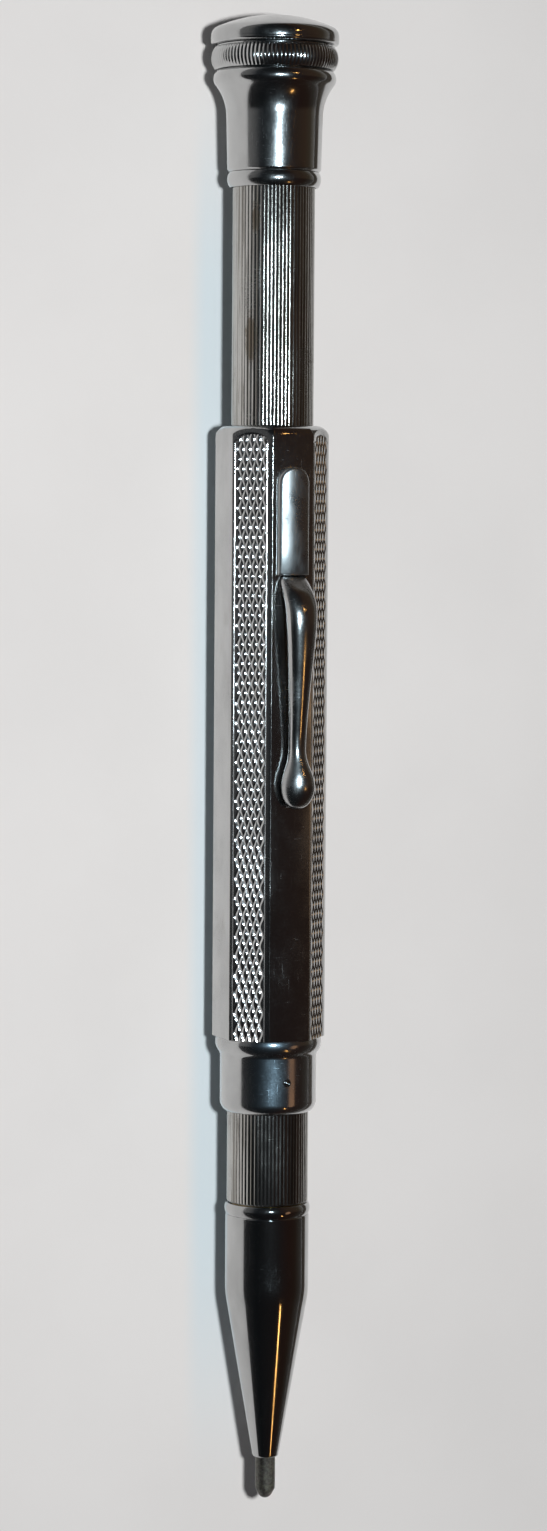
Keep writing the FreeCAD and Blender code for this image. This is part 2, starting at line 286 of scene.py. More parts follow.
def plate(name, colour, roughness, stain, scratches, shift,
          haze_weight=0.8, relief=4e-6, streaks=0.0, spots=()):
    """Old polished nickel: fine scratches, hazy wear, brown tarnish and, if asked, dull lengthwise streaks.

    shift moves the patterns, so that no two finishes match. haze_weight is how much light spreads
    softly round the highlights. Each spot is a tarnished place: (x, y, z) in metres, and its half
    lengths the same way.
    """
    s = Surface(name, colour, 1.0, roughness)
    where = (shift, 2 * shift, -shift)
    haze = s.noise(1.0, 5, s.stretched((260, 140, 260), where), 0.6)
    fine = s.noise(1.0, 2, s.stretched((5200, 5200, 5200), where), 0.5)
    across = s.noise(1.0, 2, s.stretched((900, 9000, 900), where, (0.25, 0.1, 0.5)), 0.5)
    along = s.noise(1.0, 2, s.stretched((8000, 420, 8000), where, (0.1, 0.0, 0.08)), 0.5)
    lines = s.math("MAXIMUM", s.ramp(across, 0.66, 0.74), s.ramp(along, 0.64, 0.74))
    worn = s.math("MULTIPLY", lines, s.ramp(haze, 0.42, 0.66, 0.15, scratches))
    patch = s.noise(1.0, 6, s.stretched((190, 90, 190), (5 + shift, 1, 3)), 0.62, 0.4)
    stained = s.ramp(patch, 0.60, 0.74, 0.0, stain)
    for centre, reach_xyz in spots:
        near = s.node("ShaderNodeVectorMath", operation="LENGTH")
        scale = tuple(1 / r for r in reach_xyz)
        s.feed(near.inputs[0], s.stretched(scale, tuple(-c * k for c, k in zip(centre, scale))))
        ragged = s.math("ADD", near.outputs["Value"], s.math("MULTIPLY", s.noise(1500, 4, None, 0.7), 1.1))
        stained = s.math("MAXIMUM", stained, s.ramp(ragged, 1.0, 1.5, 0.85, 0.0))
    tone = s.blend(s.ramp(haze, 0.35, 0.7), colour, tuple(c * 0.84 for c in colour))
    tone = s.blend(stained, tone, TARNISH)
    if streaks:
        long_lines = s.noise(1.0, 3, s.stretched((2300, 26, 2300), where), 0.7)
        short_lines = s.noise(1.0, 2, s.stretched((3300, 160, 3300), where), 0.6)
        dull = s.math("MAXIMUM", s.ramp(long_lines, 0.50, 0.60), s.ramp(short_lines, 0.58, 0.70))
        tone = s.blend(s.math("MULTIPLY", dull, streaks), tone, DULLED)
    s.set("Base Color", tone)
    rough = s.math("ADD", s.ramp(haze, 0.35, 0.75, roughness * 0.7, roughness * 1.9),
                   s.math("MULTIPLY", worn, 0.22))
    rough = s.math("ADD", rough, s.math("MULTIPLY", stained, 0.22))
    rough = s.math("ADD", rough, s.ramp(fine, 0.3, 0.8, 0.0, 0.05))
    s.set("Roughness", rough)
    height = s.math("ADD", s.math("MULTIPLY", worn, -0.6), s.math("MULTIPLY", haze, 0.8))
    s.set("Normal", s.bump(height, relief, 0.5))
    s.set("Coat Weight", haze_weight)
    s.set("Coat Roughness", HAZE_ROUGHNESS)
    s.set("Coat IOR", HAZE_IOR)
    return s.material


def worked_metal(name, colour, roughness, turn_marks=True):
    """Unplated inner parts: fine lathe lines, oily dark patches."""
    s = Surface(name, colour, 1.0, roughness)
    lines = s.noise(1.0, 3, s.stretched((300, 9000, 300) if turn_marks else (6000, 500, 6000)), 0.6)
    patch = s.noise(420, 5, None, 0.6, 0.3)
    s.set("Base Color", s.blend(s.ramp(patch, 0.4, 0.72), colour, tuple(c * 0.55 for c in colour)))
    s.set("Roughness", s.math("ADD", s.ramp(lines, 0.3, 0.7, roughness * 0.7, roughness * 1.4),
                              s.ramp(patch, 0.45, 0.8, 0.0, 0.15)))
    s.set("Normal", s.bump(lines, 6e-6, 0.6))
    return s.material


def graphite(name):
    """Lead: dark, slightly glossy where it is burnished, with grain and a crumbled end."""
    s = Surface(name, (0.05, 0.048, 0.046), 0.25, 0.45)
    grain = s.noise(3800, 4, None, 0.65)
    streak = s.noise(1.0, 3, s.stretched((3500, 500, 3500)), 0.6)
    s.set("Base Color", s.blend(s.ramp(grain, 0.35, 0.7), (0.075, 0.074, 0.062), (0.17, 0.165, 0.14)))
    s.set("Roughness", s.math("ADD", s.ramp(streak, 0.3, 0.7, 0.3, 0.5), s.ramp(grain, 0.4, 0.8, 0.0, 0.15)))
    s.set("Normal", s.bump(s.math("ADD", grain, s.math("MULTIPLY", streak, 0.5)), 2.5e-5, 0.7))
    return s.material


NICKEL = (0.53, 0.535, 0.535)
TUBE_SPOTS = [
    ((-0.0033, TOP_Y - 0.0318, AXIS_Z + 0.0023), (0.0008, 0.0032, 0.0012)),
    ((-0.0030, TOP_Y - 0.0200, AXIS_Z + 0.0026), (0.0005, 0.0022, 0.0010)),
]
TUBE = plate("tube_plate", (0.53, 0.525, 0.505), 0.14, stain=0.8, scratches=0.6, shift=0.3,
             haze_weight=0.45, streaks=0.75, spots=TUBE_SPOTS)
NOSE = plate("nose_plate", NICKEL, 0.07, stain=0.35, scratches=0.5, shift=1.7, haze_weight=0.12)
CAP = plate("cap_plate", NICKEL, 0.12, stain=0.4, scratches=0.5, shift=2.9, haze_weight=0.2)
SLEEVE = plate("sleeve_plate", NICKEL, 0.10, stain=0.3, scratches=0.7, shift=4.3, haze_weight=0.15)
COLLAR = plate("collar_plate", NICKEL, 0.10, stain=0.3, scratches=0.8, shift=5.2, haze_weight=0.8)
CLIP = plate("clip_plate", NICKEL, 0.20, stain=0.35, scratches=0.6, shift=6.1, haze_weight=0.3)
HOUSING = plate("housing_plate", NICKEL, 0.30, stain=0.3, scratches=0.95, shift=7.7, relief=2.2e-5)
BRASS = worked_metal("brass_works", (0.62, 0.44, 0.19), 0.28)
STEEL = worked_metal("spring_steel", (0.33, 0.33, 0.34), 0.3, False)
LEAD = graphite("graphite")

# ---------------------------------------------------------------- barrel

REEDS = 60
REED_DEPTH = 0.038
REEDED_FROM = 3.9
TUBE_WALL = 0.4
TUBE_ROWS = 24
NOSE_BORE = 3.675
LEAD_BORE = 1.06


def reeded(station, radius, angles):
    """Round reeds side by side on the tube's outer wall; its bore stays plain."""
    if radius < REEDED_FROM:
        return radius
    across = (angles * REEDS / TAU) % 1
    return radius - REED_DEPTH * (2 * across - 1) ** 2


def make_tube():
    start, end, outer = first("fluted_tube"), last("fluted_tube"), reach("fluted_tube")
    bore = outer - TUBE_WALL
    outline = [(start, bore), (start, outer - 0.1), (start + 0.15, outer)]
    for station in np.linspace(start + 4, end - 4, TUBE_ROWS):
        outline.append((float(station), outer))
    outline += [(end - 0.15, outer), (end, outer - 0.1), (end, bore)]
    lathe("reeded_tube", outline, TUBE, "barrel", "tube_plate", ["fluted_tube"], REEDS * 12, 0.0001, reeded)


def make_nose():
    start, end = first("nose_ring"), last("nose_ring")
    low = 4.13
    lathe("nose_band", [(start, NOSE_BORE), (start, low),
                        ((start + end) / 2, reach("nose_ring"), end, low), (end, NOSE_BORE)],
          NOSE, "barrel", "nose_plate", ["nose_ring"], 192, 0.02)
    start, end, size = first("nose_cone"), last("nose_cone"), reach("nose_cone")
    cone, tip = start + 7.95, 1.28
    slope = (size - tip) / (end - cone)
    lathe("long_nose", [
        (start, NOSE_BORE), (start, size - 0.06), (start + 0.12, size), (cone - 0.9, size),
        (cone, size - slope * 0.225, cone + 0.9, size - slope * 0.9),
        (end - 0.25, tip + slope * 0.25), (end - 0.05, tip - 0.05, end, tip - 0.14),
        (end, LEAD_BORE), (end - 4.35, LEAD_BORE), (end - 4.35, 1.6), (start + 11.85, 1.6),
        (start + 9.05, 2.6), (start + 4.85, 3.2), (start + 4.85, NOSE_BORE)],
        NOSE, "barrel", "nose_plate", ["nose_cone"], 256, 0.02)


RUB_LENGTH = 1.1
RUB_SHARE = 0.1
RUB_TURN = 2.2


def rubbed(station, radius, angles):
    """The lead's end, rubbed a little flat on one side."""
    end = last("lead")
    rub = smoothstep(end - RUB_LENGTH, end, station) * RUB_SHARE
    uneven = 0.03 * rub / RUB_SHARE * np.sin(5 * angles)
    return radius * (1 - rub * (0.5 + 0.5 * np.cos(angles - RUB_TURN)) - uneven)


def make_lead():
    start, end, size = first("lead"), last("lead"), reach("lead")
    lathe("lead_rod", [
        (start, 0), (start, size), (end - 5, size), (end - 1.6, size), (end - 0.95, size * 0.985),
        (end - 0.5, size * 0.74), (end - 0.16, size * 0.5, end, 0.2), (end, 0)],
        LEAD, "lead_unit", "graphite", ["lead"], 96, 0.08, rubbed)


# ---------------------------------------------------------------- cap

RIDGES = 94
RIDGED_FROM = 5.6
CAP_BORE = 4.15


def knurled(station, radius, angles):
    """Upright V ridges, deepest where the ring swells; its bore stays plain."""
    size = reach("knurled_ring")
    if radius < RIDGED_FROM:
        return radius
    depth = 0.025 + 0.05 * smoothstep(5.8, size, radius)
    across = (angles * RIDGES / TAU) % 1
    return radius - depth * np.abs(2 * across - 1) ** 1.2


def make_cap():
    start, end = first("knurled_ring"), last("knurled_ring")
    lathe("turning_knurl", [
        (start, 4.6), (start, 5.9), ((start + end) / 2, reach("knurled_ring"), end, 5.86), (end, 4.6)],
        CAP, "cap", "cap_plate", ["knurled_ring"], RIDGES * 8, 0.03, knurled)
    start, end = first("cap_hub"), last("cap_hub")
    lathe("hub_flange", [
        (start, 2.6), (start, 5.72), (start + 0.15, 5.72), (start + 0.15, 4.6),
        (start + 2.4, 4.6), (start + 2.4, CAP_BORE), (end, CAP_BORE), (end, 2.6)],
        CAP, "cap", "cap_plate", ["cap_hub"], 192, 0.03)
    start, end = first("cap_skirt"), last("cap_skirt")
    lathe("flared_skirt", [
        (start, CAP_BORE), (start, 5.62), (start + 0.8, 6.07, start + 1.45, 5.88),
        (start + 2.45, 5.25, start + 4.4, 4.78), (end - 0.25, 4.65), (end, 4.45), (end, CAP_BORE)],
        CAP, "cap", "cap_plate", ["cap_skirt"], 256, 0.06)
    start, end = first("cap_hem"), last("cap_hem")
    lathe("rolled_hem", [
        (start, CAP_BORE), (start, 4.45), ((start + end) / 2 - 0.1, 4.65, end, 4.35), (end, CAP_BORE)],
        CAP, "cap", "cap_plate", ["cap_hem"], 256, 0.04)
    size = reach("cap_dome")
    lathe("domed_top", [
        (0, 0), (0.315, 2.98, 1.25, 5.85), (1.5, 6.14, 2.0, size - 0.01), (2.25, size, 2.5, size - 0.02),
        (2.82, 6.26, 2.95, 6.0), (2.95, 2.2), (1.75, 2.2), (1.75, 0)],
        CAP, "magazine_plug", "cap_plate", ["cap_dome"], 256, 0.05)


# ---------------------------------------------------------------- octagonal sleeve

SLEEVE_START, SLEEVE_END = first("octagonal_sleeve"), last("octagonal_sleeve")
CORNER = 5.64
FLAT = CORNER * math.cos(TAU / 16)
HALF_FACET = CORNER * math.sin(TAU / 16)
EDGE_ROUND = 0.13
FACET_EDGE = HALF_FACET - EDGE_ROUND * math.tan(TAU / 16)
SHOULDER_SOFTNESS = 0.05

# engraving: wavy V cuts side by side, in a panel with a finer V cut along each border
CUT_SLOPE = math.tan(math.radians(28))
CUT_PITCH = 0.359
GRAIN_LENGTH = 1.92
CUT_SWING = 0.41 * CUT_PITCH
CUTS = 8
CUT_LEFT = 0.16
CUT_RIGHT = 0.21
CUT_DEPTH = CUT_LEFT * CUT_SLOPE
PANEL_SHIFT = -0.11
BORDER = 1.70
BORDER_HALF = 0.05
BORDER_DEPTH = BORDER_HALF * CUT_SLOPE
SLIVER = 0.004
PANEL_TOP = SLEEVE_START + 0.85
FINE_LENGTH = 2.4
FINE_ROW = 0.06
ROWS_PER_GRAIN = 12
SHOULDER = [(SLEEVE_START, 4.45)] + arc_through(
    (SLEEVE_START, 4.45), (SLEEVE_START + 0.42, 5.32), (SLEEVE_START + 1.9, 5.66), 60)


def panel_edge(u):
    """Station where the engraved panel begins, arched like the top of its facet."""
    across = np.clip(np.abs(u - PANEL_SHIFT) / (BORDER + 0.02), 0, 1)
    return PANEL_TOP + (1 - np.sqrt(1 - across ** 2))


def engraved_facet(stations):
    """Offsets across a facet and cut depths for each station: rows of columns."""
    rows = len(stations)
    swing = CUT_SWING * np.sin(TAU * (stations - SLEEVE_START) / GRAIN_LENGTH)
    middle = (CUTS - 1) / 2
    cuts = [PANEL_SHIFT + (k - middle) * CUT_PITCH + (1 if k % 2 else -1) * swing for k in range(CUTS)]
    columns, depths = [], []

    def column(u, depth):
        columns.append(np.broadcast_to(u, (rows,)))
        depths.append(np.broadcast_to(depth, (rows,)))

    inner = BORDER - BORDER_HALF
    column(-FACET_EDGE, 0)
    for u, depth in ((BORDER + BORDER_HALF, 0), (BORDER, BORDER_DEPTH), (inner, 0)):
        column(PANEL_SHIFT - u, depth)
    for k in range(-1, CUTS):
        here = cuts[k] if k >= 0 else np.full(rows, PANEL_SHIFT - inner)
        there = cuts[k + 1] if k < CUTS - 1 else np.full(rows, PANEL_SHIFT + inner)
        after = CUT_RIGHT if k >= 0 else SLIVER
        before = CUT_LEFT if k < CUTS - 1 else SLIVER
        gap = there - here
        ridge = gap * after / (after + before)
        low = CUT_DEPTH * np.maximum(0, 1 - gap / (after + before))
        if k >= 0:
            column(here, CUT_DEPTH)
        column(here + np.minimum(after, ridge), low)
        column(here + np.maximum(gap - before, ridge + SLIVER), low)
    for u, depth in ((inner, 0), (BORDER, BORDER_DEPTH), (BORDER + BORDER_HALF, 0)):
        column(PANEL_SHIFT + u, depth)
    column(FACET_EDGE, 0)
    columns, depths = np.array(columns).T, np.array(depths).T
    into = stations[:, None] - panel_edge(columns)
    depths = depths * smoothstep(0.0, 0.10, into)
    rim = np.clip(1 - np.abs(into) / 0.09, 0, 1) * (np.abs(columns - PANEL_SHIFT) < BORDER + 0.05)
    return columns, np.maximum(depths, BORDER_DEPTH * rim)


def eight_facets(stations):
    """x and z of the octagon's skin, a row for each station: plain and engraved facets by turns."""
    plain = np.broadcast_to(np.array([-FACET_EDGE, 0.0, FACET_EDGE]), (len(stations), 3))
    carved = engraved_facet(stations)
    xs, zs = [], []
    for facet in range(8):
        turn = facet * TAU / 8
        out = np.array([math.sin(turn), math.cos(turn)])
        side = np.array([math.cos(turn), -math.sin(turn)])
        u, depth = carved if facet % 2 else (plain, np.zeros_like(plain))
        xs.append(out[0] * (FLAT - depth) + side[0] * u)
        zs.append(out[1] * (FLAT - depth) + side[1] * u)
        corner = turn + TAU / 16
        middle = (FLAT - EDGE_ROUND) / math.cos(TAU / 16)
        for k in range(1, 5):
            normal = turn + TAU / 8 * k / 5
            x = middle * math.sin(corner) + EDGE_ROUND * math.sin(normal)
            z = middle * math.cos(corner) + EDGE_ROUND * math.cos(normal)
            xs.append(np.full((len(stations), 1), x))
            zs.append(np.full((len(stations), 1), z))
    return np.concatenate(xs, axis=1), np.concatenate(zs, axis=1)


def make_sleeve():
    """The octagon, held inside the turned shoulder at its cap end, and its stepped bore."""
    fine_end = SLEEVE_START + FINE_LENGTH
    fine = np.arange(SLEEVE_START, fine_end, FINE_ROW)
    rest = np.arange(fine_end, SLEEVE_END - 0.1, GRAIN_LENGTH / ROWS_PER_GRAIN)
    stations = np.concatenate([fine, rest, [SLEEVE_END]])
    limit = np.interp(stations, [p[0] for p in SHOULDER], [p[1] for p in SHOULDER])
    xs, zs = eight_facets(stations)
    size = np.hypot(xs, zs)
    gap = limit[:, None] - size
    softer = np.sqrt(gap * gap + SHOULDER_SOFTNESS * SHOULDER_SOFTNESS)
    held = size + 0.5 * (gap - softer) * (gap < 0.6)
    rings = []
    for row, station in enumerate(stations):
        share = np.minimum(held[row] / size[row], 1)
        x, z = xs[row] * share, zs[row] * share
        rings.append(np.stack([x * MM, np.full(x.shape, TOP_Y - station * MM), AXIS_Z + z * MM], axis=1))
    angles = np.arctan2(xs[-1], zs[-1])
    lip, seat, seat_end = SLEEVE_START + 1.5, SLEEVE_START + 21.6, SLEEVE_START + 33.8
    spigot = SLEEVE_END - 6.2
    inside = [(SLEEVE_END, 4.7), (spigot, 4.7), (spigot, 4.25), (seat_end, 4.25), (seat_end, 4.55),
              (seat, 4.55), (seat, 4.25), (lip, 4.25), (lip, 4.15), (SLEEVE_START, 4.15)]
    for station, radius in inside:
        rings.append(ring(station, radius, angles))
    add_piece("engraved_sleeve", *skin(rings, True), SLEEVE, "sleeve", "sleeve_plate",
              ["octagonal_sleeve"], 20)


def make_collar():
    start, joint, end = first("sleeve_collar"), SLEEVE_END, last("sleeve_collar")
    lathe("beaded_collar", [
        (start, 4.14), (start, 4.7), (joint, 4.7), (joint, 5.22), (joint + 0.75, 5.3, joint + 1.5, 4.98),
        (joint + 1.85, 4.83), (end - 1.1, 4.83), (end - 0.36, 4.63, end, 4.26), (end, 4.14)],
        COLLAR, "sleeve", "sleeve_plate", ["sleeve_collar"], 256, 0.05)


def make_stud():
    """Upright round stud with a groove round its raised middle."""
    station = (first("collar_stud") + last("collar_stud")) / 2
    size = reach("collar_stud")
    top = (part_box("collar_stud")[1][2] - AXIS_Z) / MM
    foot = (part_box("collar_stud")[0][2] - AXIS_Z) / MM
    profile = [(0, foot), (size, foot), (size, top - 0.1), (size * 0.93, top - 0.03),
               (size * 0.78, top - 0.02), (size * 0.66, top - 0.10), (size * 0.56, top - 0.09),
               (size * 0.36, top - 0.02), (0, top)]
    rings = []
    for radius, height in profile:
        angles = evenly(64) if radius else [0]
        rings.append(np.array([
            at(station + radius * math.cos(a), radius * math.sin(a), height) for a in angles]))
    add_piece("round_stud", *skin(rings, False), SLEEVE, "sleeve", "sleeve_plate", ["collar_stud"], 50)


# ---------------------------------------------------------------- clip

BOSS_HALF_WIDTH = 1.67
BOSS_SIDE = 0.45
BOSS_WALL = 0.22
BOSS_EDGE = 0.34


def crowned(x, half_width, side, crown):
    """Height of a shallow arc across the clip's housing."""
    rise = crown - side
    radius = (half_width ** 2 + rise ** 2) / (2 * rise)
    return crown - radius + np.sqrt(radius ** 2 - x ** 2)


def make_boss():
    """Crowned housing, round at the cap end, hollow where the clip's tang goes in."""
    start, end = first("clip_boss"), last("clip_boss")
    hollow = start + 2.65
    crown = (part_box("clip_boss")[1][2] - AXIS_Z) / MM - FLAT
    inner_half = BOSS_HALF_WIDTH - BOSS_WALL
    across = np.sin(np.linspace(-math.pi / 2, math.pi / 2, 33))

    def loop(station, cavity):
        into = min(station - start, BOSS_HALF_WIDTH)
        half = math.sqrt(BOSS_HALF_WIDTH ** 2 - (BOSS_HALF_WIDTH - into) ** 2)
        x = across * half
        edge = BOSS_HALF_WIDTH - np.hypot(x, BOSS_HALF_WIDTH - into)
        edge = np.minimum(edge, end - station + 0.03)
        short = np.maximum(0, BOSS_EDGE - edge)
        drop = BOSS_EDGE - np.sqrt(np.maximum(0, BOSS_EDGE ** 2 - short ** 2))
        top = crowned(x, BOSS_HALF_WIDTH, BOSS_SIDE, crown) - drop
        inside = across * min(inner_half, half)
        under = 0 * x
        if cavity:
            under = crowned(inside, inner_half, BOSS_SIDE - BOSS_WALL / 2, crown - BOSS_WALL)
        points = [(x[0], 0), *zip(x, top), (x[-1], 0),
                  (inside[-1], 0), *zip(inside[::-1], under[::-1]), (inside[0], 0)]
        return np.array([at(station, px, FLAT + height) for px, height in points])

    rounding = BOSS_HALF_WIDTH * (1 - np.cos(np.linspace(0.12, math.pi / 2, 22)))
    stations = [*(start + rounding), hollow]
    rings = [loop(station, False) for station in stations]
    for station in (hollow, hollow + 2, hollow + 5, end - 0.2, end - 0.12, end - 0.06, end - 0.02, end):
        rings.append(loop(station, True))
    points, faces = skin(rings, False)
    size = len(rings[0])
    faces.append(tuple(range(size)))
    half = size // 2
    tail = len(points) - size
    faces += [(tail + k, tail + k + 1, tail + size - 2 - k, tail + size - 1 - k) for k in range(half - 1)]
    add_piece("clip_housing", points, faces, HOUSING, "sleeve", "clip_plate", ["clip_boss"], 38)


# station, width, underside above the top facet, side wall, height of the rounded top, its lean
# towards +X: the clip's arm from its housing, over the waist, to its ball end
ARM = [
    (55.03, 2.5, 0.04, 0.12, 0.26, 0),
    (55.35, 2.72, 0.2, 0.18, 0.42, 0),
    (55.9, 2.95, 0.56, 0.25, 0.6, 0),
    (56.6, 3.1, 1.02, 0.28, 0.8, 0),
    (57.4, 3.22, 1.34, 0.3, 0.92, 0),
    (58.3, 3.2, 1.57, 0.3, 0.99, 0),
    (59.3, 3.12, 1.67, 0.3, 0.99, 0),
    (60.3, 3.0, 1.68, 0.3, 0.97, 0),
    (61.3, 2.85, 1.64, 0.3, 0.94, 0),
    (63.3, 2.58, 1.48, 0.3, 0.9, 0),
    (65.3, 2.3, 1.29, 0.3, 0.85, 0),
    (67.3, 2.05, 1.09, 0.3, 0.8, 0),
    (69.3, 1.85, 0.91, 0.3, 0.74, 0),
    (71.3, 1.74, 0.76, 0.3, 0.69, 0),
    (72.4, 1.76, 0.71, 0.31, 0.73, 0),
    (73.0, 1.9, 0.71, 0.32, 0.82, 0.04),
    (73.5, 2.16, 0.73, 0.33, 0.93, 0.1),
    (74.0, 2.5, 0.76, 0.34, 1.06, 0.17),
    (74.6, 2.92, 0.79, 0.34, 1.2, 0.25),
    (75.2, 3.18, 0.81, 0.34, 1.27, 0.31),
    (75.8, 3.29, 0.82, 0.34, 1.27, 0.33),
    (76.3, 3.22, 0.82, 0.34, 1.2, 0.32),
    (76.8, 2.98, 0.82, 0.34, 1.04, 0.28),
    (77.2, 2.62, 0.82, 0.34, 0.85, 0.22),
    (77.55, 2.12, 0.82, 0.34, 0.63, 0.15),
    (77.8, 1.55, 0.82, 0.33, 0.42, 0.09),
    (77.95, 0.98, 0.82, 0.31, 0.24, 0.04),
    (78.03, 0.4, 0.83, 0.24, 0.1, 0),
]
ARM_ASIDE = 0.25
ARM_STEP = 0.14
ARM_TOP_POINTS = 26


def clip_ring(width, low, wall, dome, lean):
    """(x, height) pairs across the clip: a half-round top over short side walls, hollow beneath."""
    half = width / 2
    high = low + wall
    upper, lower = [], []
    for turn in np.linspace(-math.pi / 2, math.pi / 2, ARM_TOP_POINTS):
        x, up = math.sin(turn), math.cos(turn)
        upper.append((0.985 * half * x + lean * up, high + dome * up))
        lower.append((0.86 * half * x, low + 0.5 * (wall + dome) * min(1.0, 2.2 * up)))
    left = [(-half, low + 0.05), (-half, high - 0.03)]
    right = [(half, high - 0.03), (half, low + 0.05)]
    return left + upper + right + [(half - 0.04, low)] + lower[::-1] + [(-half + 0.04, low)]


def smooth_table(table, step):
    """The table resampled with a smooth curve through its rows."""
    data = np.array(table, dtype=float)
    s = data[:, 0]
    slope = np.gradient(data[:, 1:], s, axis=0)
    out = []
    for k in range(len(s) - 1):
        count = max(1, int(round((s[k + 1] - s[k]) / step)))
        h = s[k + 1] - s[k]
        for t in np.arange(count) / count:
            a, b = data[k, 1:], data[k + 1, 1:]
            value = ((2 * t ** 3 - 3 * t ** 2 + 1) * a + (t ** 3 - 2 * t ** 2 + t) * h * slope[k]
                     + (3 * t ** 2 - 2 * t ** 3) * b + (t ** 3 - t ** 2) * h * slope[k + 1])
            out.append((s[k] + t * h, *value))
    out.append(tuple(data[-1]))
    return out


def make_arm():
    offset = first("clip_arm") - ARM[0][0]
    rings = []
    for station, *shape in smooth_table(ARM, ARM_STEP):
        aside = ARM_ASIDE * smoothstep(55.2, 58.6, station)
        rings.append(np.array([at(station + offset, x + aside, FLAT + z) for x, z in clip_ring(*shape)]))
    points, faces = skin(rings, False)
    size = len(rings[0])
    faces += [tuple(range(size)), tuple(range(len(points) - size, len(points)))]
    add_piece("clip_tongue", points, faces, CLIP, "clip", "clip_plate", ["clip_arm"], 42)


make_tube()
make_nose()
make_lead()
make_cap()
make_sleeve()
make_collar()
make_stud()
make_boss()
make_arm()

INNER_FINISH = [
    (BRASS, ["rear_bush", "nose_bush", "guide_tube", "tip_sleeve", "lead_carrier", "push_rod", "slider",
             "spiral_sleeve", "magazine_tube", "magazine_floor", "plug_stem"]),
    (STEEL, ["friction_washer", "drive_pin", "retaining_ring", "friction_spring", "clip_root"]),
    (LEAD, ["spare_leads"]),
]
for material, nodes in INNER_FINISH:
    for node in nodes:
        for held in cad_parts[node].material_slots:
            held.link = "OBJECT"
            held.material = material

# ---------------------------------------------------------------- floor, light and camera


PAINTED_BOUNCE_BLUE = (0.69, 0.79, 0.84)
FAR_GLOW = 0.60
FLOOR_HALF = 8


def paper():
    """Pale paper, with a painted pool of bluish bounced light beside the pencil. It glows far away, where
    the flash fades: painted light.
    """
    s = Surface("paper", (0.80, 0.795, 0.79), 0.0, 0.75)
    tone = s.noise(40, 4, None, 0.5)
    fibre = s.noise(1.0, 4, s.stretched((2600, 1400, 2600)), 0.6)
    plain = s.blend(s.ramp(tone, 0.3, 0.7), (0.82, 0.815, 0.81), (0.79, 0.785, 0.78))
    split = s.node("ShaderNodeSeparateXYZ")
    s.feed(split.inputs[0], s.place)
    x, y = split.outputs["X"], split.outputs["Y"]
    # painted light: a bluish pool of flash light bounced off the metal, painted into the paper beside the
    # pencil and fading out along it
    beside = s.math("MULTIPLY", s.ramp(x, -0.0068, -0.0044), s.ramp(x, -0.001, 0.001, 1, 0))
    along = s.math("MULTIPLY", s.ramp(y, -0.078, -0.045), s.ramp(y, 0.045, 0.072, 1, 0))
    s.set("Base Color", s.blend(s.math("MULTIPLY", beside, along), plain, PAINTED_BOUNCE_BLUE))
    s.set("Normal", s.bump(fibre, 2e-5, 0.35))
    # painted light: the paper glows more with distance, in place of lamp light where the flash fades
    distance = s.node("ShaderNodeVectorMath", operation="LENGTH")
    s.feed(distance.inputs[0], s.place)
    s.set("Emission Color", plain)
    s.set("Emission Strength", s.ramp(distance.outputs["Value"], 0.10, 0.55, 0.0, FAR_GLOW))
    return s.material


def add_sheet(name, material, low, high, height):
    """Flat stage piece between two (x, y) corners."""
    (x, y), (x2, y2) = low, high
    mesh = bpy.data.meshes.new(name)
    mesh.from_pydata([(x, y, height), (x2, y, height), (x2, y2, height), (x, y2, height)],
                     [], [(0, 1, 2, 3)])
    mesh.materials.append(material)
    sheet = bpy.data.objects.new(name, mesh)
    SCENE.collection.objects.link(sheet)
    return sheet


def card():
    """Dull dark cardboard."""
    s = Surface("card", (0.08, 0.07, 0.06), 0.0, 0.8)
    tone = s.ramp(s.noise(90, 4, None, 0.6), 0.3, 0.7)
    s.set("Base Color", s.blend(tone, (0.10, 0.085, 0.07), (0.06, 0.05, 0.04)))
    return s.material


def make_flag():
    """Dark card to the right, seen only in reflections: it narrows the bright strips down that side."""
    flag = add_sheet("flag", card(), (0.030, -0.6), (0.9, 0.6), 0.0004)
    flag.visible_camera = flag.visible_diffuse = False
    flag.visible_shadow = flag.visible_transmission = False


def add_light(name, where, aim, size, radiance, colour, only=()):
    """Light facing a point. size is its (width, length); radiance is what a mirror shows of it.

    only names the pieces it shines on; without it, it shines on everything.
    """
    data = bpy.data.lights.new(name, "AREA")
    data.shape = "ELLIPSE"
    data.size, data.size_y = size
    data.energy = radiance * math.pi * math.pi * size[0] * size[1] / 4
    data.color = colour
    light = bpy.data.objects.new(name, data)
    toward = Vector(aim) - Vector(where)
    light.matrix_world = Matrix.Translation(where) @ toward.to_track_quat("-Z", "Y").to_matrix().to_4x4()
    SCENE.collection.objects.link(light)
    if only:
        lit = bpy.data.collections.new(name + "_lit")
        for piece in only:
            lit.objects.link(bpy.data.objects[piece])
        light.light_linking.receiver_collection = lit
    return light


